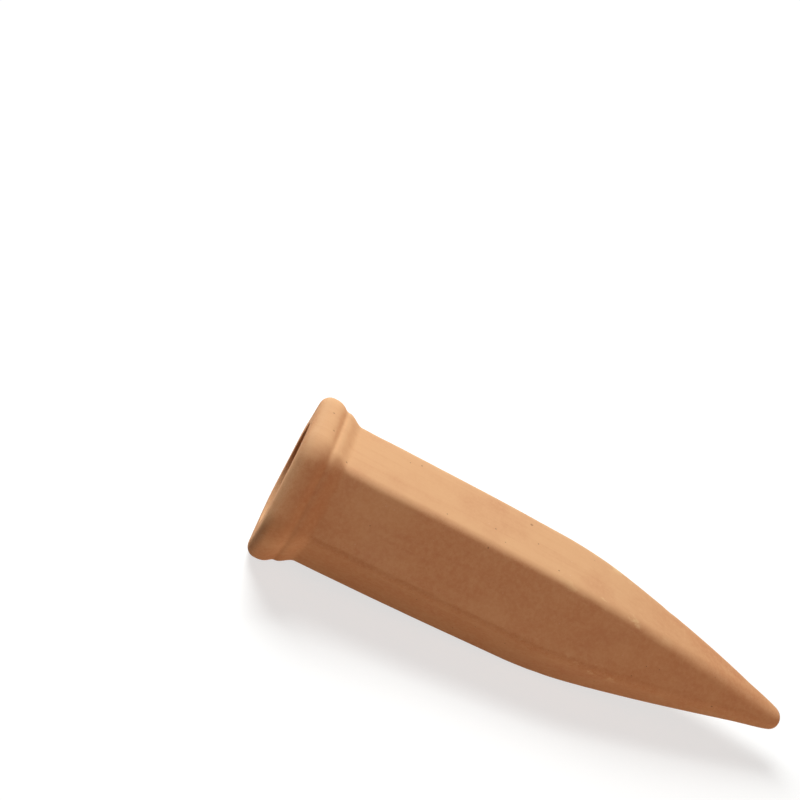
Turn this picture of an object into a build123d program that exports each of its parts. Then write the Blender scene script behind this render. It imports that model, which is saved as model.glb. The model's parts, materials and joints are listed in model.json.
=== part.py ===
from build123d import *
import math
import os

# Self watering spike: one cast clay shell, a hexagonal stake with a rolled lip and a long point.
# It lies on its side on its lip and its shoulder, mouth towards -X, tip towards +X, one flat facing up.
# Origin on the ground, under the middle of the spike. Lengths in millimetres, angles in degrees.
# "half" is the distance from the axis to a flat, "corner" the radius between two flats,
# and "along" a distance from the mouth's plane towards the tip.

# Overall form
spike_length = 180.0
flat_count = 6  # an even number
half_turn = 180.0

# Hexagonal body and point
mouth_half = 20.8
shoulder_half = 20.0
shoulder_along = 102.6
shoulder_round = 140.0
flank_corner = 3.0
tip_half = 3.4
tip_round = 2.8

# Rolled lip at the mouth, round in front and sloping more gently behind
lip_rise = 4.6
lip_corner = 10.7
lip_round = 3.6
lip_back_round = 6.0
lip_land = 0.8

# Collar, the smaller second bead behind the lip
collar_rise = 2.4
collar_corner = 8.0
collar_start = 4.0
collar_band = 1.2
collar_fall = 3.8
collar_sink = 0.6
collar_round = 4.0
collar_blend = 3.0
groove_round = 1.6
edge_slack = 0.05

# Round bore that takes the bottle neck
bore_radius = 17.0
bore_length = 14.0
bore_edge_round = 1.2

# Hollow that holds the water
wall = 3.4
hollow_corner = 5.0
flare_length = 12.0
flare_rise = 4.6
tip_solid = 20.0

# How much of the room beside it a rounding may take
room_share = 0.85

# Sizes of the rim that follow from the body's
lip_half = mouth_half + lip_rise
lip_back = lip_round + lip_land
lip_length = lip_back + lip_back_round
collar_half = mouth_half + collar_rise
collar_along = lip_length + collar_band
collar_end = collar_along + collar_fall

# Slopes of the flats against the axis, and their lengths for each unit along it
body_slope = (mouth_half - shoulder_half) / shoulder_along
point_slope = (shoulder_half - tip_half) / (spike_length - shoulder_along)
body_reach = math.hypot(1, body_slope)
point_reach = math.hypot(1, point_slope)
slope_change = point_slope - body_slope
shoulder_blend = shoulder_round * (point_reach - body_reach) / slope_change
blend_alongs = (shoulder_along - shoulder_blend, shoulder_along + shoulder_blend)
flat_turn = half_turn / flat_count
corner_share = 1 / math.cos(math.radians(flat_turn))
past_corner = lip_half * corner_share

# Centres of the shoulder's arc and of the tip's rounding, in the plane through two flats
arc_along = shoulder_along - shoulder_blend
arc_half = mouth_half - body_slope * arc_along - shoulder_round * body_reach
tip_fillet = min(tip_round, room_share * tip_half)
tip_along = spike_length - tip_fillet
tip_centre_half = tip_half + point_slope * tip_fillet - tip_fillet * point_reach

# Slope of the axis when the lip and the shoulder touch the ground together
lip_centre_half = lip_half - lip_round
back_centre_half = lip_half - lip_back_round
run = arc_along - lip_back
drop = back_centre_half - arc_half
lie_radians = math.atan2(drop, run) + math.asin((lip_back_round - shoulder_round) / math.hypot(run, drop))
lie_cos = math.cos(lie_radians)
lie_sin = math.sin(lie_radians)
axis_direction = Vector(lie_cos, 0, -lie_sin)
up_direction = Vector(lie_sin, 0, lie_cos)

# Where the axis meets the mouth's plane, so that the origin is on the ground under the middle
mouth_height = lip_back * lie_sin + back_centre_half * lie_cos + lip_back_round
low_end = lip_round * lie_cos - lip_centre_half * lie_sin - lip_round
high_end = tip_along * lie_cos + tip_centre_half * lie_sin + tip_fillet
mouth_centre = Vector(-(low_end + high_end) / 2, 0, mouth_height)
spike_axis = Axis(mouth_centre, axis_direction)


def section_plane(along):
    """Plane square to the axis, its own X pointing up to the top flat."""
    return Plane(mouth_centre + axis_direction * along, x_dir=up_direction, z_dir=axis_direction)


def side_plane(turn):
    """Plane through the axis, square to two opposite flats, turned about the axis."""
    sideways = Vector(0, -math.cos(math.radians(turn)), 0)
    upwards = up_direction * math.sin(math.radians(turn))
    return Plane(mouth_centre, x_dir=axis_direction, z_dir=sideways + upwards)


def flank_half(along):
    """Distance from the axis to a flat, before the shoulder is rounded."""
    if along < shoulder_along:
        return mouth_half - body_slope * along
    return shoulder_half - point_slope * (along - shoulder_along)


def on_corner(edge):
    """True for an edge that runs along a corner between two flats."""
    middle = (edge @ 0.5) - mouth_centre
    along = middle.dot(axis_direction)
    radius = (middle - axis_direction * along).length
    return radius > flank_half(along) * (1 + corner_share) / 2


def at_crest(edge):
    """True for an edge in the plane where the collar's level band ends."""
    middle = (edge @ 0.5) - mouth_centre
    return abs(middle.dot(axis_direction) - collar_along) < edge_slack


# Flank: the six flats of the body and the point, as three slabs of one side outline crossed
with BuildPart() as flank:
    for pair in range(flat_count // 2):
        with BuildSketch(side_plane(2 * flat_turn * pair)):
            with BuildLine():
                for side in (1, -1):
                    FilletPolyline(
                        (collar_start, side * flank_half(collar_start)),
                        (shoulder_along, side * shoulder_half),
                        (spike_length, side * tip_half),
                        radius=shoulder_round,
                    )
                Line((collar_start, flank_half(collar_start)), (collar_start, -flank_half(collar_start)))
                Line((spike_length, tip_half), (spike_length, -tip_half))
            make_face()
        extrude(amount=past_corner, both=True, mode=Mode.INTERSECT if pair else Mode.ADD)
    fillet(flank.edges().filter_by(on_corner), radius=min(flank_corner, tip_half))
    fillet(flank.faces().sort_by(spike_axis)[-1].edges(), radius=tip_fillet)

# Lip: a plate with rounded corners and both rims rolled over
with BuildPart() as lip:
    with BuildSketch(section_plane(0)) as lip_section:
        RegularPolygon(lip_half, flat_count, major_radius=False, rotation=flat_turn)
        fillet(lip_section.vertices(), radius=lip_corner)
    extrude(amount=lip_length)
    fillet(lip.faces().sort_by(spike_axis)[0].edges(), radius=lip_round)
    fillet(lip.faces().sort_by(spike_axis)[-1].edges(), radius=lip_back_round)

# Collar: a level band that slopes down into the flats
with BuildPart() as collar:
    with BuildSketch(section_plane(collar_start)) as start_section:
        RegularPolygon(collar_half, flat_count, major_radius=False, rotation=flat_turn)
        fillet(start_section.vertices(), radius=collar_corner)
    extrude(amount=collar_along - collar_start)
    with BuildSketch(section_plane(collar_along)) as crest_section:
        RegularPolygon(collar_half, flat_count, major_radius=False, rotation=flat_turn)
        fillet(crest_section.vertices(), radius=collar_corner)
    with BuildSketch(section_plane(collar_end)) as foot_section:
        foot_half = flank_half(collar_end) - collar_sink
        RegularPolygon(foot_half, flat_count, major_radius=False, rotation=flat_turn)
        fillet(foot_section.vertices(), radius=flank_corner)
    loft(ruled=True)
    crest_edges = collar.edges().filter_by(at_crest)
    fillet(crest_edges, radius=collar_round)

# Hollow: a hexagonal taper that starts as the round bore and flares into the corners
with BuildPart() as hollow:
    for along in (bore_length, *blend_alongs, spike_length - tip_solid):
        half = flank_half(along) - wall * point_reach
        with BuildSketch(section_plane(along)) as section:
            RegularPolygon(half, flat_count, major_radius=False, rotation=flat_turn)
            fillet(section.vertices(), radius=min(hollow_corner, half / corner_share))
    loft(ruled=True)
    with BuildSketch(side_plane(0)):
        with BuildLine():
            Polyline(
                (bore_length, 0),
                (bore_length, bore_radius),
                (bore_length + flare_length, bore_radius + flare_rise),
                (spike_length, bore_radius + flare_rise),
                (spike_length, 0),
                close=True,
            )
        make_face()
    revolve(axis=spike_axis, mode=Mode.INTERSECT)

# The finished shell
with BuildPart() as spike_body:
    add(flank.part)
    add(collar.part)
    fillet(edges(Select.NEW), radius=collar_blend)
    add(lip.part)
    fillet(edges(Select.NEW), radius=groove_round)
    add(hollow.part, mode=Mode.SUBTRACT)
    with BuildSketch(section_plane(0)):
        Circle(bore_radius)
    extrude(amount=bore_length, mode=Mode.SUBTRACT)
    mouth_edge = spike_body.edges().sort_by_distance(mouth_centre)[0]
    fillet(mouth_edge, radius=min(bore_edge_round, room_share * (lip_centre_half - bore_radius)))

os.makedirs("parts", exist_ok=True)
spike_body.part.label = "spike_body"
export_step(spike_body.part, "parts/spike_body.step")

print("lie angle", round(math.degrees(lie_radians), 3))
print("mouth centre", mouth_centre)
box = spike_body.part.bounding_box()
print("box", box.min, box.max)
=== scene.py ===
import json
import math

import bpy
import numpy as np
from mathutils import Matrix, Vector


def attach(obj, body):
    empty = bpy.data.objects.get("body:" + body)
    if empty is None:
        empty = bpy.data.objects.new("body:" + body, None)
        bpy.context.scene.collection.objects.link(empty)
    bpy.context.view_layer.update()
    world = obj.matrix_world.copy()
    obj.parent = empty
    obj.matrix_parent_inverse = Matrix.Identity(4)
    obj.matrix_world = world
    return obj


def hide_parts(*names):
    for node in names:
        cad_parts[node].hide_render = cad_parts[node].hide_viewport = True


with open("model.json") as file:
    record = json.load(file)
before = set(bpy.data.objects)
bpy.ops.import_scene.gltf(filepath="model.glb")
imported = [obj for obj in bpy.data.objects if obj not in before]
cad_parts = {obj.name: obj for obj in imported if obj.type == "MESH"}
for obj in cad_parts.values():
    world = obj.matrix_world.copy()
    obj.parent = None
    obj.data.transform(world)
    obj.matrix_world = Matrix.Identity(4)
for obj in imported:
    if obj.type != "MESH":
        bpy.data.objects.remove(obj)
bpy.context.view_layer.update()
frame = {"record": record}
MM = 0.001

# The spike's own frame, from the mounts: the mouth's centre, the axis towards the tip, the way up
mounts = {mount["name"]: mount for mount in frame["record"]["mounts"]}
out_of_mouth = Vector(mounts["bottle_mouth"]["axis"]).normalized()
bore_middle = Vector(mounts["bottle_mouth"]["pos_m"])
rim_point = Vector(mounts["mouth_rim"]["pos_m"])
mouth_centre = bore_middle + out_of_mouth * (rim_point - bore_middle).dot(out_of_mouth)
along_axis = -out_of_mouth
across_axis = Vector((0, 1, 0))
up_axis = along_axis.cross(across_axis)
lie_angle = math.atan2(-along_axis.z, along_axis.x)

# Sizes of the casting in millimetres. "Along" runs from the mouth's plane towards the tip, "half"
# from the axis to a flat, and "corner" is the rounding between two flats.
LENGTH = 180.0
MOUTH_HALF, SHOULDER_HALF, SHOULDER_ALONG, SHOULDER_ROUND = 20.8, 20.0, 102.6, 140.0
TIP_HALF, TIP_ROUND = 3.4, 4.0
BODY_CORNER, TIP_CORNER, CORNER_ALONG, CORNER_RUN = 3.5, 6.5, 90.0, 86.0
LIP_HALF, LIP_CORNER, LIP_ROUND, LIP_LAND, LIP_BACK_ROUND = 25.4, 10.7, 3.6, 0.8, 6.0
COLLAR_HALF, COLLAR_CORNER, COLLAR_ALONG, COLLAR_END, RIM_END = 23.25, 7.2, 9.8, 15.4, 16.0
BORE_RADIUS, BORE_LENGTH, BORE_EDGE = 17.0, 14.0, 0.4
FLARE_LENGTH, FLARE_RISE = 12.0, 4.6
WALL, HOLLOW_CORNER, HOLLOW_END, HOLLOW_CAP = 3.4, 5.0, 160.0, 3.0

# How the clay softened the shape: the valley between lip and collar, the body's belly, and the
# point's swell and bend
VALLEY_BLEND, VALLEY_FILL = 1.8, 0.75
GROOVE_DEPTH, GROOVE_ALONG, GROOVE_WIDTH = 0.22, 9.2, 1.6
BELLY, POINT_SWELL, SWELL_ALONG = 0.2, 0.55, 114.0
TIP_BEND, BEND_ALONG, BEND_ACROSS, BEND_UP = 0.7, 145.0, -0.53, -0.85

# Shares of these sizes, angles in degrees, and how sharply two surfaces meet. The slant is the
# wall's thickness square to the axis, for each millimetre square to the wall.
FLANK_CORNER_SHARE, HOLLOW_CORNER_SHARE, WALL_SLANT = 0.9, 0.86, 1.024
SIDES = 6
SIDE_TURN = 360.0 / SIDES
HALF_TURN = SIDE_TURN / 2
QUARTER, CAP_TURN, GROOVE_FADE = 90.0, 80.0, 14.0
TIP_SHARPNESS, FLARE_SHARPNESS = 6, 14
HALFWAY = 0.5
NEARLY_ZERO = 1e-6

# How many rings of points each stretch of the outline has, and how many points each side
TIP_RINGS, BODY_RINGS, RIM_RINGS, LIP_RINGS = 13, 177, 43, 14
CREST_RINGS, EDGE_RINGS, BORE_RINGS, HOLLOW_RINGS, CAP_RINGS = 6, 8, 10, 61, 6
TIP_SPACING = 3.0
POINTS_A_SIDE, FINE_STEPS = 32, 2001
CORNER_CROWDING, CROWDING_WIDTH = 2.4, 5.0


def steps(start, end, count):
    """Evenly spaced values that end at end, and leave start out."""
    return np.linspace(start, end, count + 1)[1:]


def smoothstep(value):
    """0 to 1 with a level start and end."""
    value = np.clip(value, 0, 1)
    return value * value * (3 - 2 * value)


def soft_least(first, second, sharpness):
    """The lesser of two sizes, rounded where they meet."""
    return (first**-sharpness + second**-sharpness) ** (-1 / sharpness)


def bell(value, middle, width):
    """1 at the middle, falling off on both sides."""
    return np.exp(-(((value - middle) / width) ** 2))


def hump(along, start, end):
    """0 up to the start and past the end, 1 half way between them."""
    return np.sin(np.pi * np.clip((along - start) / (end - start), 0, 1))


def flank_half(along):
    """Distance from the axis to a flat, with the round shoulder and the bullet-like tip."""
    body_slope = (MOUTH_HALF - SHOULDER_HALF) / SHOULDER_ALONG
    point_slope = (SHOULDER_HALF - TIP_HALF) / (LENGTH - SHOULDER_ALONG)
    slope_change = point_slope - body_slope
    reach_change = math.hypot(1, point_slope) - math.hypot(1, body_slope)
    blend = SHOULDER_ROUND * reach_change / slope_change
    start = SHOULDER_ALONG - blend
    half = MOUTH_HALF - body_slope * along + BELLY * hump(along, 0, start)
    half = half - slope_change * np.clip(along - start, 0, 2 * blend) ** 2 / (4 * blend)
    half = half - slope_change * np.clip(along - start - 2 * blend, 0, None)
    half = half + POINT_SWELL * hump(along, SWELL_ALONG, LENGTH)
    dome = np.sqrt(2 * TIP_ROUND * np.clip(LENGTH - along, NEARLY_ZERO, None))
    return soft_least(half, dome, TIP_SHARPNESS)


def flank_corner(along):
    """Rounding between two flats, larger towards the tip."""
    share = np.clip((along - CORNER_ALONG) / CORNER_RUN, 0, 1)
    corner = BODY_CORNER + (TIP_CORNER - BODY_CORNER) * share
    return np.minimum(corner, FLANK_CORNER_SHARE * flank_half(along))


def rim_rows(along):
    """Rows from behind the collar to the lip's top: flank, collar's band and lip's back."""
    flank = flank_half(along)
    rise = smoothstep((COLLAR_END - along) / (COLLAR_END - COLLAR_ALONG))
    collar = flank + (COLLAR_HALF - flank) * rise
    collar_corner = flank_corner(along) * (1 - rise) + COLLAR_CORNER * rise
    back = np.clip(along - LIP_ROUND - LIP_LAND, 0, LIP_BACK_ROUND)
    inset = LIP_BACK_ROUND - np.sqrt(LIP_BACK_ROUND**2 - back**2)
    lip, lip_corner = LIP_HALF - inset, LIP_CORNER - inset
    share = smoothstep(HALFWAY + (lip - collar) / VALLEY_BLEND)
    half = collar + (lip - collar) * share + VALLEY_FILL * share * (1 - share)
    return np.stack([along, half, collar_corner + (lip_corner - collar_corner) * share], 1)


def outside_rows():
    """Rows of (along, half, corner) from the tip back to the lip's level crest."""
    body_end = LENGTH - TIP_SPACING
    near_tip = LENGTH - TIP_SPACING * (1 - np.cos(steps(0, np.pi / 2, TIP_RINGS)))
    along = np.concatenate([near_tip, steps(body_end, RIM_END, BODY_RINGS)])
    flank = np.stack([along, flank_half(along), flank_corner(along)], 1)
    rim = rim_rows(steps(RIM_END, LIP_ROUND, RIM_RINGS))
    turn = np.radians(steps(0, QUARTER, LIP_RINGS))
    inset = LIP_ROUND * (1 - np.cos(turn))
    front_along = LIP_ROUND * (1 - np.sin(turn))
    front = np.stack([front_along, LIP_HALF - inset, LIP_CORNER - inset], 1)
    return np.concatenate([flank, rim, front])


def mouth_rows():
    """Rows of (along, half, corner) across the lip's level crest and round the bore's edge."""
    crest, edge = LIP_HALF - LIP_ROUND, BORE_RADIUS + BORE_EDGE
    share = steps(0, 1, CREST_RINGS + 1)[:-1]
    half = crest + (edge - crest) * share
    corner = LIP_CORNER - LIP_ROUND + (edge - LIP_CORNER + LIP_ROUND) * smoothstep(share)
    level = np.stack([0 * share, half, np.minimum(corner, half)], 1)
    turn = np.radians(np.linspace(QUARTER, 0, EDGE_RINGS))
    half = BORE_RADIUS + BORE_EDGE * (1 - np.cos(turn))
    return np.concatenate([level, np.stack([BORE_EDGE * (1 - np.sin(turn)), half, half], 1)])


def inside_rows():
    """Rows of (along, half, corner) down the bore and the hollow to its rounded end."""
    along = steps(BORE_EDGE, BORE_LENGTH, BORE_RINGS)
    radius = 0 * along + BORE_RADIUS
    bore = np.stack([along, radius, radius], 1)
    along = steps(BORE_LENGTH, HOLLOW_END - HOLLOW_CAP, HOLLOW_RINGS)
    half = flank_half(along) - WALL * WALL_SLANT
    hollow = np.stack([along, half, np.minimum(HOLLOW_CORNER, half * HOLLOW_CORNER_SHARE)], 1)
    turn = np.radians(steps(0, CAP_TURN, CAP_RINGS))
    cap_along = along[-1] + HOLLOW_CAP * np.sin(turn)
    cap_half = half[-1] * np.cos(turn)
    cap = np.stack([cap_along, cap_half, cap_half * HOLLOW_CORNER_SHARE], 1)
    return np.concatenate([bore, hollow, cap])


def around_angles():
    """Angles round the section in radians, closer together near the six corners."""
    fine = np.linspace(-HALF_TURN, HALF_TURN, FINE_STEPS)
    weight = 1 + CORNER_CROWDING * bell(HALF_TURN - np.abs(fine), 0, CROWDING_WIDTH)
    total = np.concatenate([[0], np.cumsum((weight[1:] + weight[:-1]) / 2)])
    side = np.interp(np.linspace(0, total[-1], POINTS_A_SIDE + 1)[:-1], total, fine)
    return np.radians(np.concatenate([side + SIDE_TURN * index for index in range(SIDES)]))


def from_flat(angle):
    """Degrees from the middle of the nearest flat, for an angle in radians."""
    return np.abs((np.degrees(angle) + HALF_TURN) % SIDE_TURN - HALF_TURN)


def section_radius(angle, half, corner):
    """Distance from the axis of a rounded hexagon at an angle from the middle of a flat."""
    turn = np.radians(from_flat(angle))
    to_corner = math.radians(HALF_TURN)
    width = (half - corner) * math.tan(to_corner)
    centre = (half - corner) / math.cos(to_corner)
    off = to_corner - turn
    chord = np.sqrt(np.clip(corner**2 - (centre * np.sin(off)) ** 2, 0, None))
    round_part = centre * np.cos(off) + chord
    return np.where(half * np.tan(turn) <= width, half / np.cos(turn), round_part)


def shell_faces(rings, count):
    """Quads between neighbouring rings, and a fan over the tip and over the hollow's end."""
    faces = []
    for near in range(0, (rings - 1) * count, count):
        far = near + count
        for step in range(count):
            ahead = (step + 1) % count
            faces.append((near + step, near + ahead, far + ahead, far + step))
    tip, last = rings * count, (rings - 1) * count
    bottom = tip + 1
    for step in range(count):
        ahead = (step + 1) % count
        faces.append((tip, ahead, step))
        faces.append((bottom, last + step, last + ahead))
    return faces


# Marks on the casting for its finish: their widths and where they fade, in degrees or millimetres
ARRIS_WIDTH, ARRIS_ALONG, ARRIS_RUN, ARRIS_LEAST, ARRIS_AT_TIP = 6.5, 9.0, 6.0, 0.15, 0.5
CREST_ALONG, CREST_WIDTH, CREST_INSIDE = 2.0, 2.6, 0.4
DEPTH_RUN = 40.0


def store_mark(mesh, name, values, at_tip, at_bottom):
    """Stores a number for each point of the mesh, its two end points last."""
    attribute = mesh.attributes.new(name, "FLOAT", "POINT")
    values = np.concatenate([values.reshape(-1), [at_tip, at_bottom]])
    attribute.data.foreach_set("value", values.astype(np.float32))


def clay_shell():
    """The whole shell as one closed mesh: outside, lip, bore and hollow, with its marks."""
    outside, mouth, inside = outside_rows(), mouth_rows(), inside_rows()
    rows = np.concatenate([outside, mouth, inside])
    inner = np.arange(len(rows)) >= len(outside) + len(mouth)
    along = rows[:, 0]
    angles = around_angles()
    count = len(angles)
    off_corner = HALF_TURN - from_flat(angles)

    # The section's radius at each row, with the groove pressed in and the bore's flare
    radius = np.stack([section_radius(angles, half, corner) for _, half, corner in rows])
    groove = GROOVE_DEPTH * bell(along, GROOVE_ALONG, GROOVE_WIDTH) * ~inner
    radius = radius - groove[:, None] * smoothstep(off_corner / GROOVE_FADE)
    flare = BORE_RADIUS + FLARE_RISE * np.clip((along - BORE_LENGTH) / FLARE_LENGTH, 0, 1)
    flared = soft_least(radius, flare[:, None], FLARE_SHARPNESS)
    radius = np.where((inner & (along > BORE_LENGTH))[:, None], flared, radius)

    # The point's end is a little bent, as the casting slumped while it was soft
    bend = TIP_BEND * (np.clip(along - BEND_ALONG, 0, None) / (LENGTH - BEND_ALONG)) ** 2
    bend = np.where(inner, 0, bend)[:, None]
    upwards = radius * np.cos(angles) + BEND_UP * bend
    sideways = radius * np.sin(angles) + BEND_ACROSS * bend
    points = np.zeros((len(rows), count, 3))
    for axis, part in ((along_axis, along[:, None]), (up_axis, upwards), (across_axis, sideways)):
        points += np.array(axis)[None, None, :] * part[:, :, None]
    points = points.reshape(-1, 3) * MM + np.array(mouth_centre)
    bent_by = (up_axis * BEND_UP + across_axis * BEND_ACROSS) * TIP_BEND
    tip = np.array(mouth_centre + (along_axis * LENGTH + bent_by) * MM)
    bottom = np.array(mouth_centre + along_axis * HOLLOW_END * MM)
    points = np.concatenate([points, [tip, bottom]])
    mesh = bpy.data.meshes.new("clay_shell")
    mesh.from_pydata(points.tolist(), [], shell_faces(len(rows), count))

    # Marks: how near a corner between two flats, how near the lip's crest, and how far inside
    arris = bell(off_corner, 0, ARRIS_WIDTH)[None, :] * np.where(inner, 0, 1)[:, None]
    arris = arris * np.clip((along - ARRIS_ALONG) / ARRIS_RUN, ARRIS_LEAST, 1)[:, None]
    crest = bell(along, CREST_ALONG, CREST_WIDTH) * np.where(inner, CREST_INSIDE, 1)
    depth = np.where(inner, np.clip(along / DEPTH_RUN, 0, 1), 0)
    store_mark(mesh, "arris", arris, ARRIS_AT_TIP, 0)
    store_mark(mesh, "crest", np.repeat(crest[:, None], count, 1), 0, 0)
    store_mark(mesh, "depth", np.repeat(depth[:, None], count, 1), 0, 1)
    return mesh


def link(tree, start, end):
    tree.links.new(start, end)


def feed(tree, socket, value):
    """Gives a socket a number, a colour or a vector, or links another node's output to it."""
    if isinstance(value, (int, float, tuple)):
        socket.default_value = value
    else:
        link(tree, value, socket)


def value_node(tree, operation, first, second=None, clamp=False):
    """A Math node on one or two values."""
    node = tree.nodes.new("ShaderNodeMath")
    node.operation = operation
    node.use_clamp = clamp
    feed(tree, node.inputs[0], first)
    if second is not None:
        feed(tree, node.inputs[1], second)
    return node.outputs[0]


def add(tree, first, second):
    return value_node(tree, "ADD", first, second)


def subtract(tree, first, second, clamp=False):
    return value_node(tree, "SUBTRACT", first, second, clamp)


def multiply(tree, first, second, clamp=False):
    return value_node(tree, "MULTIPLY", first, second, clamp)


def divide(tree, first, second):
    return value_node(tree, "DIVIDE", first, second)


def noise_node(tree, vector, scale, detail, rough, shift):
    """Noise of a scale for each millimetre; the shift picks another stretch of it."""
    node = tree.nodes.new("ShaderNodeTexNoise")
    node.noise_dimensions = "4D"
    link(tree, vector, node.inputs["Vector"])
    feed(tree, node.inputs["Scale"], scale)
    feed(tree, node.inputs["Detail"], detail)
    feed(tree, node.inputs["Roughness"], rough)
    feed(tree, node.inputs["W"], shift)
    return node.outputs[0]


def stretch(tree, vector, factors):
    """A point with its parts multiplied; a small first factor draws a pattern out lengthwise."""
    node = tree.nodes.new("ShaderNodeVectorMath")
    node.operation = "MULTIPLY"
    node.inputs[1].default_value = factors
    link(tree, vector, node.inputs[0])
    return node.outputs[0]


def scaled(tree, vector, factor):
    """A vector times a number."""
    node = tree.nodes.new("ShaderNodeVectorMath")
    node.operation = "SCALE"
    link(tree, vector, node.inputs[0])
    feed(tree, node.inputs["Scale"], factor)
    return node.outputs[0]


def stored_mark(tree, name):
    """A mark of the casting, in Geometry Nodes."""
    node = tree.nodes.new("GeometryNodeInputNamedAttribute")
    node.data_type = "FLOAT"
    node.inputs["Name"].default_value = name
    return node.outputs[0]


def give_material(tree, geometry, material, where=None):
    """Sets the material of the geometry, or of the part of it where a value is above 0."""
    node = tree.nodes.new("GeometryNodeSetMaterial")
    node.inputs["Material"].default_value = material
    link(tree, geometry, node.inputs["Geometry"])
    if where is not None:
        link(tree, where, node.inputs["Selection"])
    return node.outputs[0]


# Hand finish: heights and sizes in millimetres
FINISH_SIZES = (
    ("Warp Height", 0.30),
    ("Warp Size", 46.0),
    ("Ripple Height", 0.10),
    ("Ripple Size", 11.0),
    ("Drag Height", 0.035),
    ("Drag Width", 1.7),
    ("Dent Depth", 0.18),
    ("Dent Size", 9.0),
    ("Inset", 0.07),
    ("Seed", 7.0),
)
DRAG_STRETCH = (0.055, 1, 1)
DENT_FROM, DENT_GAIN = 0.66, -6.0
INSIDE_FROM = 0.1


def hand_finish_tree(outer_clay, inner_clay):
    """Geometry Nodes: the small unevenness of a hand-finished casting, pressed in along normals."""
    tree = bpy.data.node_groups.new("hand_finish", "GeometryNodeTree")
    sockets = tree.interface
    sockets.new_socket("Geometry", in_out="INPUT", socket_type="NodeSocketGeometry")
    for name, value in FINISH_SIZES:
        socket = sockets.new_socket(name, in_out="INPUT", socket_type="NodeSocketFloat")
        socket.default_value = value
    sockets.new_socket("Geometry", in_out="OUTPUT", socket_type="NodeSocketGeometry")
    given = tree.nodes.new("NodeGroupInput").outputs

    # The point in millimetres, turned so that X runs along the spike
    position = tree.nodes.new("GeometryNodeInputPosition")
    turned = tree.nodes.new("ShaderNodeVectorRotate")
    turned.rotation_type = "Y_AXIS"
    turned.inputs["Angle"].default_value = -lie_angle
    link(tree, scaled(tree, position.outputs[0], 1 / MM), turned.inputs["Vector"])
    point = turned.outputs[0]

    def relief(vector, size, detail, shift, level=HALFWAY):
        """Noise of a size in millimetres, above and below a level."""
        shift = add(tree, given["Seed"], shift)
        scale = divide(tree, 1.0, size)
        noise = noise_node(tree, vector, scale, detail=detail, rough=0.5, shift=shift)
        return subtract(tree, noise, level)

    warp = relief(point, given["Warp Size"], detail=1.0, shift=0.0)
    warp = multiply(tree, warp, given["Warp Height"])
    ripple = relief(point, given["Ripple Size"], detail=2.0, shift=3.1)
    ripple = multiply(tree, ripple, given["Ripple Height"])
    drawn_out = stretch(tree, point, DRAG_STRETCH)
    drag = relief(drawn_out, given["Drag Width"], detail=2.0, shift=5.7)
    drag = multiply(tree, drag, given["Drag Height"])
    dent = relief(point, given["Dent Size"], detail=0.0, shift=9.4, level=DENT_FROM)
    dent = multiply(tree, value_node(tree, "MAXIMUM", dent, 0.0), DENT_GAIN)
    on_arris = multiply(tree, stored_mark(tree, "arris"), given["Dent Depth"])
    dent = multiply(tree, dent, on_arris)
    height = add(tree, add(tree, warp, ripple), add(tree, drag, dent))
    height = subtract(tree, height, given["Inset"])

    normal = tree.nodes.new("GeometryNodeInputNormal")
    move = tree.nodes.new("GeometryNodeSetPosition")
    link(tree, given["Geometry"], move.inputs["Geometry"])
    push = scaled(tree, normal.outputs[0], multiply(tree, height, MM))
    link(tree, push, move.inputs["Offset"])
    smooth = tree.nodes.new("GeometryNodeSetShadeSmooth")
    link(tree, move.outputs[0], smooth.inputs["Geometry"])
    real = tree.nodes.new("GeometryNodeRealizeInstances")
    link(tree, smooth.outputs[0], real.inputs[0])
    inside = value_node(tree, "GREATER_THAN", stored_mark(tree, "depth"), INSIDE_FROM)
    outer = give_material(tree, real.outputs[0], outer_clay)
    inner = give_material(tree, outer, inner_clay, where=inside)
    output = tree.nodes.new("NodeGroupOutput")
    link(tree, inner, output.inputs[0])
    return tree


def shader_group(name, inputs, outputs):
    """An empty shader node group with named inputs and outputs."""
    group = bpy.data.node_groups.new(name, "ShaderNodeTree")
    kinds = {
        "value": "NodeSocketFloat",
        "colour": "NodeSocketColor",
        "vector": "NodeSocketVector",
    }
    for label, kind, value in inputs:
        socket = group.interface.new_socket(label, in_out="INPUT", socket_type=kinds[kind])
        if value is not None:
            socket.default_value = value
    for label, kind in outputs:
        group.interface.new_socket(label, in_out="OUTPUT", socket_type=kinds[kind])
    given = group.nodes.new("NodeGroupInput").outputs
    return group, given, group.nodes.new("NodeGroupOutput").inputs


def ramp(tree, value, low, high):
    """0 below low, 1 above high, smooth between them."""
    node = tree.nodes.new("ShaderNodeMapRange")
    node.interpolation_type = "SMOOTHSTEP"
    node.inputs["From Min"].default_value = low
    node.inputs["From Max"].default_value = high
    link(tree, value, node.inputs["Value"])
    return node.outputs["Result"]


def mix_colour(tree, factor, first, second):
    """The first colour at a factor of 0, the second at 1."""
    node = tree.nodes.new("ShaderNodeMix")
    node.data_type = "RGBA"
    factor_socket, first_socket, second_socket = node.inputs[0], node.inputs[6], node.inputs[7]
    feed(tree, factor_socket, factor)
    feed(tree, first_socket, first)
    feed(tree, second_socket, second)
    return node.outputs[2]


def tint(tree, colour, mask, strength, towards):
    """Lays another colour over a colour where the mask is, at a strength."""
    return mix_colour(tree, multiply(tree, mask, strength), colour, towards)


def srgb(red, green, blue):
    """A colour written as it is seen, from 0 to 255, as the linear values that a socket takes."""
    full, knee, low_slope, offset, power = 255, 0.04045, 12.92, 0.055, 2.4
    parts = []
    for level in (red, green, blue):
        level = level / full
        high = ((level + offset) / (1 + offset)) ** power
        parts.append(level / low_slope if level <= knee else high)
    return (*parts, 1.0)


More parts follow.
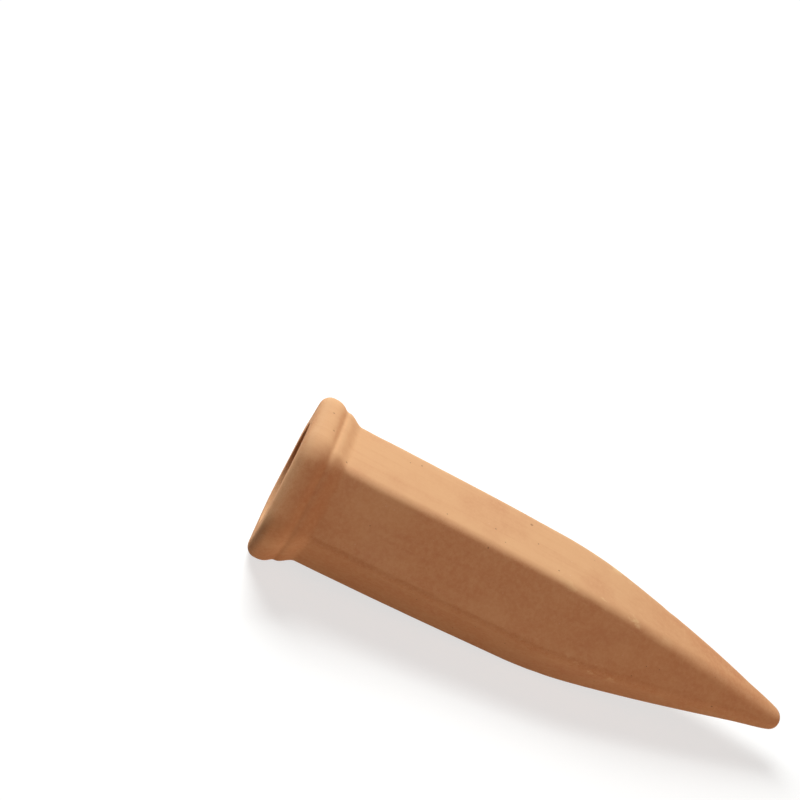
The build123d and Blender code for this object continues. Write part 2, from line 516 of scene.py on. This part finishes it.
# Colours of the clay, outside and inside. The inside's are darker than the outside's as painted
# shade of the hollow, and its inner shade is darker still, as painted shade far down it
CLAY_BODY, CLAY_PALE, CLAY_RED = srgb(215, 154, 110), srgb(232, 186, 140), srgb(202, 132, 95)
RUBBED_CLAY, SCUFFED_CLAY = srgb(232, 184, 142), srgb(243, 207, 158)
# The pinholes' darker colour is painted shade in them
LIGHT_GROG, DARK_GROG, PIT_SHADE = srgb(240, 206, 172), srgb(112, 66, 44), srgb(126, 74, 48)
INNER_BODY, INNER_PALE, INNER_RED = srgb(192, 124, 84), srgb(206, 146, 104), srgb(166, 94, 62)
INNER_SHADE, INNER_GROG = srgb(140, 80, 54), srgb(104, 58, 40)
STREAK_STRETCH = (0.035, 1.0, 1.0)


def fired_tone_group():
    """Fired clay's colour: the body made paler by a given share, cloudy patches, streaks and fine
    mottle.
    """
    group, given, result = shader_group(
        "fired_clay_tone",
        [
            ("Point", "vector", None),
            ("Body", "colour", CLAY_BODY),
            ("Pale", "colour", CLAY_PALE),
            ("Red", "colour", CLAY_RED),
            ("Flash", "value", 0.5),
            ("Patch Size", "value", 16.0),
            ("Patch", "value", 0.5),
            ("Streak", "value", 0.3),
            ("Mottle", "value", 0.3),
        ],
        [("Colour", "colour")],
    )
    point, pale, red = given["Point"], given["Pale"], given["Red"]
    scale = divide(group, 1.0, given["Patch Size"])
    cloud = noise_node(group, point, scale, detail=3.0, rough=0.55, shift=1.3)
    cloud = ramp(group, cloud, low=0.40, high=0.66)
    red_cloud = noise_node(group, point, scale, detail=2.0, rough=0.5, shift=8.1)
    red_cloud = ramp(group, red_cloud, low=0.48, high=0.72)
    drawn_out = stretch(group, point, STREAK_STRETCH)
    streak = noise_node(group, drawn_out, scale=0.55, detail=3.0, rough=0.6, shift=4.2)
    streak = ramp(group, streak, low=0.45, high=0.75)
    mottle = noise_node(group, point, scale=0.9, detail=4.0, rough=0.7, shift=2.7)
    mottle = ramp(group, mottle, low=0.35, high=0.68)
    colour = mix_colour(group, given["Flash"], given["Body"], pale)
    colour = tint(group, colour, mask=cloud, strength=given["Patch"], towards=pale)
    colour = tint(group, colour, mask=red_cloud, strength=given["Patch"], towards=red)
    colour = tint(group, colour, mask=streak, strength=given["Streak"], towards=red)
    colour = tint(group, colour, mask=mottle, strength=given["Mottle"], towards=pale)
    link(group, colour, result["Colour"])
    return group


# Specks: the smallest one's share of the full size, and how steep their edges are
SPECK_LEAST, SPECK_EDGE = 0.2, 2.2


def speck_group():
    """Mask of scattered grog specks or pinholes, round and of mixed sizes."""
    group, given, result = shader_group(
        "grog_specks",
        [
            ("Point", "vector", None),
            ("Spacing", "value", 3.0),
            ("Size", "value", 0.2),
            ("Share", "value", 0.3),
        ],
        [("Mask", "value")],
    )
    cells = group.nodes.new("ShaderNodeTexVoronoi")
    cells.feature = "F1"
    link(group, given["Point"], cells.inputs["Vector"])
    link(group, divide(group, 1.0, given["Spacing"]), cells.inputs["Scale"])
    chance = group.nodes.new("ShaderNodeSeparateColor")
    link(group, cells.outputs["Color"], chance.inputs[0])
    reach = divide(group, given["Size"], given["Spacing"])
    shrink = add(group, multiply(group, chance.outputs[1], 1 - SPECK_LEAST), SPECK_LEAST)
    near = divide(group, cells.outputs["Distance"], multiply(group, reach, shrink))
    dot = subtract(group, 1.0, near, clamp=True)
    dot = multiply(group, dot, SPECK_EDGE, clamp=True)
    chosen = value_node(group, "LESS_THAN", chance.outputs[0], given["Share"])
    link(group, multiply(group, dot, chosen), result["Mask"])
    return group


SPONGE_STRETCH = (0.06, 1.0, 1.0)


def clay_skin_group():
    """Height of the matte skin: fine tooth, sponge drag and shallow orange-peel."""
    group, given, result = shader_group(
        "clay_skin",
        [
            ("Point", "vector", None),
            ("Tooth", "value", 0.5),
            ("Drag", "value", 0.3),
            ("Peel", "value", 0.4),
        ],
        [("Height", "value"), ("Rubbed", "value")],
    )
    point = given["Point"]
    drawn_out = stretch(group, point, SPONGE_STRETCH)
    tooth = noise_node(group, point, scale=2.6, detail=4.0, rough=0.65, shift=6.3)
    drag = noise_node(group, drawn_out, scale=1.6, detail=3.0, rough=0.6, shift=3.9)
    peel = noise_node(group, point, scale=0.42, detail=2.0, rough=0.5, shift=7.7)
    height = multiply(group, tooth, given["Tooth"])
    height = add(group, height, multiply(group, drag, given["Drag"]))
    height = add(group, height, multiply(group, peel, given["Peel"]))
    link(group, height, result["Height"])
    link(group, ramp(group, tooth, low=0.42, high=0.62), result["Rubbed"])
    return group


tone_group, specks_group, skin_group = fired_tone_group(), speck_group(), clay_skin_group()


def place(tree, group, **values):
    """Puts a group in a tree, sets its inputs and gives its outputs."""
    node = tree.nodes.new("ShaderNodeGroup")
    node.node_tree = group
    for label, value in values.items():
        feed(tree, node.inputs[label.replace("_", " ")], value)
    return node.outputs


def specks(tree, point, spacing, size, share):
    """Mask of specks of a size and a spacing in millimetres, in a share of the cells."""
    return place(tree, specks_group, Point=point, Spacing=spacing, Size=size, Share=share)["Mask"]


def millimetres(tree):
    """Object coordinates in millimetres, turned so that X runs along the spike."""
    coordinates = tree.nodes.new("ShaderNodeTexCoord")
    mapping = tree.nodes.new("ShaderNodeMapping")
    mapping.vector_type = "POINT"
    mapping.inputs["Scale"].default_value = (1 / MM, 1 / MM, 1 / MM)
    mapping.inputs["Rotation"].default_value = (0, -lie_angle, 0)
    link(tree, coordinates.outputs["Object"], mapping.inputs["Vector"])
    return mapping.outputs[0]


def mark(tree, name):
    """A mark of the casting, in a material."""
    node = tree.nodes.new("ShaderNodeAttribute")
    node.attribute_name = name
    return node.outputs["Fac"]


def part_of(tree, vector, axis):
    """One part of a vector: X, Y or Z."""
    node = tree.nodes.new("ShaderNodeSeparateXYZ")
    link(tree, vector, node.inputs[0])
    return node.outputs[axis]


def new_material(name, **values):
    """A new material, its tree and its Principled BSDF, with values on the shader's own sockets."""
    material = bpy.data.materials.new(name)
    material.use_nodes = True
    shader = material.node_tree.nodes["Principled BSDF"]
    for label, value in values.items():
        shader.inputs[label.replace("_", " ")].default_value = value
    return material, material.node_tree, shader


def bump_from(tree, shader, height, strength, distance):
    """Bump on a shader, from a height and a distance in millimetres."""
    bump = tree.nodes.new("ShaderNodeBump")
    bump.inputs["Strength"].default_value = strength
    bump.inputs["Distance"].default_value = distance * MM
    link(tree, height, bump.inputs["Height"])
    link(tree, bump.outputs[0], shader.inputs["Normal"])


# Painted top light: surfaces that face up are made paler, fading towards the point as painted
# falloff of the light. How far its border wanders, where it starts on a turned surface, how strong
# it is, and where it ends along the spike, in millimetres from the middle
TOP_LIGHT_WANDER, TOP_LIGHT_FROM, TOP_LIGHT_FULL, TOP_LIGHT_STRENGTH = 0.7, 0.45, 0.95, 0.85
TOP_LIGHT_FADE, TOP_LIGHT_END = 8.0, 64.0

# Wear: rubbed arrises and lip, and scuffs round the shoulder
RUB_STRENGTH, SCUFF_STRENGTH, SCUFF_OFF_ARRIS = 0.42, 0.9, 0.06
SCUFF_MIDDLE, SCUFF_REACH = 18.0, 26.0
SCUFF_STRETCH = (0.6, 1.0, 1.0)

# Specks: how strongly each kind shows, and the stretches that keep the kinds apart
LIGHT_STRENGTH, DARK_STRENGTH, PIT_SHADE_STRENGTH, INNER_STRENGTH = 0.35, 0.6, 0.5, 0.4
LIGHT_STRETCH, PIT_STRETCH = (1.07, 0.93, 1.01), (0.96, 1.05, 1.11)

# Skin: roughness where it isn't rubbed and how much rubbing takes off, and relief of the specks
OUTER_ROUGHNESS, OUTER_POLISH, INNER_ROUGHNESS, INNER_POLISH = 0.92, -0.10, 0.96, -0.06
PIT_SINK, GROG_RISE = 1.6, 0.25
# How strongly painted shade darkens the inside far down the hollow
INNER_SHADE_STRENGTH = 0.5


def painted_top_light(tree, point, along):
    """Painted top light: surfaces that face up are made paler, with a wandering border, fading out
    towards the point.
    """
    surface = tree.nodes.new("ShaderNodeNewGeometry")
    faces_up = part_of(tree, surface.outputs["Normal"], "Z")
    wander = noise_node(tree, point, scale=0.03, detail=2.0, rough=0.5, shift=11.0)
    wander = multiply(tree, subtract(tree, wander, HALFWAY), TOP_LIGHT_WANDER)
    top_light = ramp(tree, add(tree, faces_up, wander), low=TOP_LIGHT_FROM, high=TOP_LIGHT_FULL)
    top_light = multiply(tree, top_light, TOP_LIGHT_STRENGTH)
    toward_tip = ramp(tree, along, low=TOP_LIGHT_FADE, high=TOP_LIGHT_END)
    return multiply(tree, top_light, subtract(tree, 1.0, toward_tip))


def shoulder_scuffs(tree, point, along, arris):
    """Short pale scuffs, near the shoulder and mostly on the arrises."""
    from_shoulder = value_node(tree, "ABSOLUTE", subtract(tree, along, SCUFF_MIDDLE))
    by_shoulder = subtract(tree, 1.0, divide(tree, from_shoulder, SCUFF_REACH), clamp=True)
    drawn_out = stretch(tree, point, SCUFF_STRETCH)
    scuff = noise_node(tree, drawn_out, scale=0.34, detail=3.0, rough=0.6, shift=15.4)
    scuff = ramp(tree, scuff, low=0.53, high=0.63)
    near_arris = multiply(tree, by_shoulder, add(tree, arris, SCUFF_OFF_ARRIS))
    return multiply(tree, scuff, near_arris)


def outer_clay_material():
    """Outside: clay with painted top light, rubbed arrises, scuffs, grog specks, and pinholes with
    painted shade.
    """
    material, tree, shader = new_material(
        "terracotta_outside", Specular_IOR_Level=0.22, Diffuse_Roughness=0.6
    )
    point = millimetres(tree)
    along = part_of(tree, point, "X")
    arris, crest = mark(tree, "arris"), mark(tree, "crest")
    # The paleness given here is painted top light on up-facing surfaces, fading towards the point
    tone = place(
        tree,
        tone_group,
        Point=point,
        Flash=painted_top_light(tree, point, along),
        Patch=0.34,
        Patch_Size=19.0,
        Streak=0.18,
        Mottle=0.40,
    )
    skin = place(tree, skin_group, Point=point, Tooth=0.55, Drag=0.22, Peel=0.5)
    light_point, pit_point = stretch(tree, point, LIGHT_STRETCH), stretch(tree, point, PIT_STRETCH)
    dark = specks(tree, point, spacing=3.9, size=0.36, share=0.3)
    light = specks(tree, light_point, spacing=3.1, size=0.34, share=0.35)
    pits = specks(tree, pit_point, spacing=7.5, size=0.6, share=0.35)

    rubbed = multiply(tree, value_node(tree, "MAXIMUM", arris, crest), skin["Rubbed"])
    scuffs = shoulder_scuffs(tree, point, along, arris)
    colour = tone["Colour"]
    for mask, strength, towards in (
        (rubbed, RUB_STRENGTH, RUBBED_CLAY),
        (scuffs, SCUFF_STRENGTH, SCUFFED_CLAY),
        (light, LIGHT_STRENGTH, LIGHT_GROG),
        (dark, DARK_STRENGTH, DARK_GROG),
        # Pinholes: painted shade in them, besides the bump that sinks them
        (pits, PIT_SHADE_STRENGTH, PIT_SHADE),
    ):
        colour = tint(tree, colour, mask, strength, towards)
    link(tree, colour, shader.inputs["Base Color"])
    rough = add(tree, multiply(tree, skin["Rubbed"], OUTER_POLISH), OUTER_ROUGHNESS)
    link(tree, rough, shader.inputs["Roughness"])
    height = subtract(tree, skin["Height"], multiply(tree, pits, PIT_SINK))
    height = add(tree, height, multiply(tree, light, GROG_RISE))
    bump_from(tree, shader, height, strength=0.35, distance=0.12)
    return material


def inner_clay_material():
    """Inside: redder and rougher, darker as painted shade of the hollow, and darkest far down it as
    deeper painted shade.
    """
    material, tree, shader = new_material(
        "terracotta_inside", Specular_IOR_Level=0.15, Diffuse_Roughness=0.7
    )
    point = millimetres(tree)
    tone = place(
        tree,
        tone_group,
        Point=point,
        Body=INNER_BODY,
        Pale=INNER_PALE,
        Red=INNER_RED,
        Flash=0.2,
        Patch=0.5,
        Patch_Size=12.0,
        Streak=0.35,
        Mottle=0.35,
    )
    skin = place(tree, skin_group, Point=point, Tooth=0.9, Drag=0.5, Peel=0.9)
    grog = specks(tree, point, spacing=4.2, size=0.5, share=0.4)
    depth = mark(tree, "depth")
    # Painted shade: darker the deeper down the hollow
    colour = tint(tree, tone["Colour"], depth, INNER_SHADE_STRENGTH, INNER_SHADE)
    colour = tint(tree, colour, grog, INNER_STRENGTH, INNER_GROG)
    link(tree, colour, shader.inputs["Base Color"])
    rough = add(tree, multiply(tree, skin["Rubbed"], INNER_POLISH), INNER_ROUGHNESS)
    link(tree, rough, shader.inputs["Roughness"])
    bump_from(tree, shader, skin["Height"], strength=0.5, distance=0.2)
    return material


outer_clay, inner_clay = outer_clay_material(), inner_clay_material()
shell = bpy.data.objects.new("rough_casting", clay_shell())
bpy.context.scene.collection.objects.link(shell)
finish = shell.modifiers.new("hand_finish", "NODES")
finish.node_group = hand_finish_tree(outer_clay, inner_clay)
finished_shell = shell.evaluated_get(bpy.context.evaluated_depsgraph_get())
finished_mesh = bpy.data.meshes.new_from_object(finished_shell)
bpy.data.objects.remove(shell)
spike = bpy.data.objects.new("terracotta_spike", finished_mesh)
bpy.context.scene.collection.objects.link(spike)
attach(spike, "root")
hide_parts("spike_body")

# Floor, in metres from the spike's middle: where its shadows start to fade, and where they end
SHADOWS_FADE, SHADOWS_END, FLOOR_REACH = 0.12, 0.36, 6.0
SHADOW_GREY, FLOOR_GLOW, SHADOW_ROOM = 0.40, 1.04, 0.38
FLOOR_COLOUR = (0.36, 0.29, 0.23, 1)
STUDIO_COLOUR, STUDIO_STRENGTH = (1.0, 0.78, 0.62, 1), 0.03
WHITE = (1, 1, 1, 1)


def by_ray(tree, lighting, seen):
    """One shader lights the object, and the other is what the camera, gloss and glass see."""
    path = tree.nodes.new("ShaderNodeLightPath").outputs
    direct = value_node(tree, "MAXIMUM", path["Is Camera Ray"], path["Is Glossy Ray"])
    direct = value_node(tree, "MAXIMUM", direct, path["Is Transmission Ray"])
    choose = tree.nodes.new("ShaderNodeMixShader")
    for socket, start in zip(choose.inputs, (direct, lighting, seen)):
        link(tree, start, socket)
    return choose.outputs[0]


def floor_material():
    """Pale plain floor: warm where it lights the object, and white but for the seen shadow."""
    material, tree, shader = new_material(
        "pale_floor", Roughness=0.95, Specular_IOR_Level=0.0, Base_Color=FLOOR_COLOUR
    )
    coordinates = tree.nodes.new("ShaderNodeTexCoord")
    away = tree.nodes.new("ShaderNodeVectorMath")
    away.operation = "LENGTH"
    link(tree, coordinates.outputs["Object"], away.inputs[0])
    far = ramp(tree, away.outputs["Value"], low=SHADOWS_FADE, high=SHADOWS_END)
    near = subtract(tree, 1.0, far)
    grey = tree.nodes.new("ShaderNodeCombineColor")
    grey_level = multiply(tree, near, SHADOW_GREY)
    for channel in grey.inputs:
        link(tree, grey_level, channel)
    shadowed = tree.nodes.new("ShaderNodeBsdfDiffuse")
    link(tree, grey.outputs[0], shadowed.inputs["Color"])
    glow = tree.nodes.new("ShaderNodeEmission")
    glow.inputs["Color"].default_value = WHITE
    strength = subtract(tree, FLOOR_GLOW, multiply(tree, near, SHADOW_ROOM))
    link(tree, strength, glow.inputs["Strength"])
    seen = tree.nodes.new("ShaderNodeAddShader")
    link(tree, shadowed.outputs[0], seen.inputs[0])
    link(tree, glow.outputs[0], seen.inputs[1])
    surface = by_ray(tree, shader.outputs[0], seen.outputs[0])
    link(tree, surface, tree.nodes["Material Output"].inputs["Surface"])
    return material


floor_corners = [
    (-FLOOR_REACH, -FLOOR_REACH, 0),
    (FLOOR_REACH, -FLOOR_REACH, 0),
    (FLOOR_REACH, FLOOR_REACH, 0),
    (-FLOOR_REACH, FLOOR_REACH, 0),
]
floor_mesh = bpy.data.meshes.new("floor")
floor_mesh.from_pydata(floor_corners, [], [(0, 1, 2, 3)])
floor_mesh.materials.append(floor_material())
floor = bpy.data.objects.new("floor", floor_mesh)
bpy.context.scene.collection.objects.link(floor)


def studio_world():
    """A faint warm light all round, and plain white where it is seen."""
    world = bpy.data.worlds.new("studio")
    world.use_nodes = True
    tree = world.node_tree
    soft = tree.nodes["Background"]
    soft.inputs["Color"].default_value = STUDIO_COLOUR
    soft.inputs["Strength"].default_value = STUDIO_STRENGTH
    white = tree.nodes.new("ShaderNodeBackground")
    white.inputs["Color"].default_value = WHITE
    white.inputs["Strength"].default_value = 1.0
    surface = by_ray(tree, soft.outputs[0], white.outputs[0])
    link(tree, surface, tree.nodes["World Output"].inputs["Surface"])
    return world


bpy.context.scene.world = studio_world()

# Lamps, in metres and watts: where they aim, and the directions that they stand in
LAMP_AIM = Vector((0, 0, 0.03))


def soft_box(name, direction, distance, size, power, colour):
    """A square area lamp that looks at the spike from a direction."""
    lamp = bpy.data.lights.new(name, "AREA")
    lamp.shape = "SQUARE"
    lamp.size = size
    lamp.energy = power
    lamp.color = colour
    box = bpy.data.objects.new(name, lamp)
    aim = Vector(direction).normalized()
    box.location = aim * distance + LAMP_AIM
    box.rotation_euler = aim.to_track_quat("Z", "Y").to_euler()
    bpy.context.scene.collection.objects.link(box)


soft_box(
    "key",
    direction=(-0.44, 0.41, 0.81),
    distance=0.60,
    size=0.38,
    power=5.1,
    colour=(0.95, 1.0, 1.0),
)
soft_box(
    "fill",
    direction=(0.66, -0.72, 0.20),
    distance=0.9,
    size=0.7,
    power=4.3,
    colour=(1.0, 0.74, 0.58),
)

# Camera: how it is turned in the spike's own frame, where it has the mouth's centre, in
# millimetres to the right, down and ahead, and its lens and film
CAMERA_TURN = (
    (0.88493141, 0.16422478, 0.43580572),
    (0.45465264, -0.50743389, -0.73198485),
    (0.10093254, 0.84589660, -0.52370942),
)
MOUTH_SEEN = (-35.92858, 22.45136, 354.72486)
LENS, FILM_WIDTH, NEAREST = 51.48, 36.0, 0.01
turn = Matrix(CAMERA_TURN)
columns = Matrix((turn[0], -turn[1], -turn[2])).transposed()
spike_to_world = Matrix((along_axis, across_axis, up_axis)).transposed()
from_mouth = spike_to_world @ (turn.transposed() @ -Vector(MOUTH_SEEN))
camera_place = Matrix.Translation(mouth_centre + from_mouth * MM)
camera_data = bpy.data.cameras.new("camera")
camera_data.lens = LENS
camera_data.sensor_width = FILM_WIDTH
camera_data.clip_start = NEAREST
camera = bpy.data.objects.new("camera", camera_data)
camera.matrix_world = camera_place @ (spike_to_world @ columns).to_4x4()
bpy.context.scene.collection.objects.link(camera)
bpy.context.scene.camera = camera
bpy.context.scene.view_settings.view_transform = "Standard"
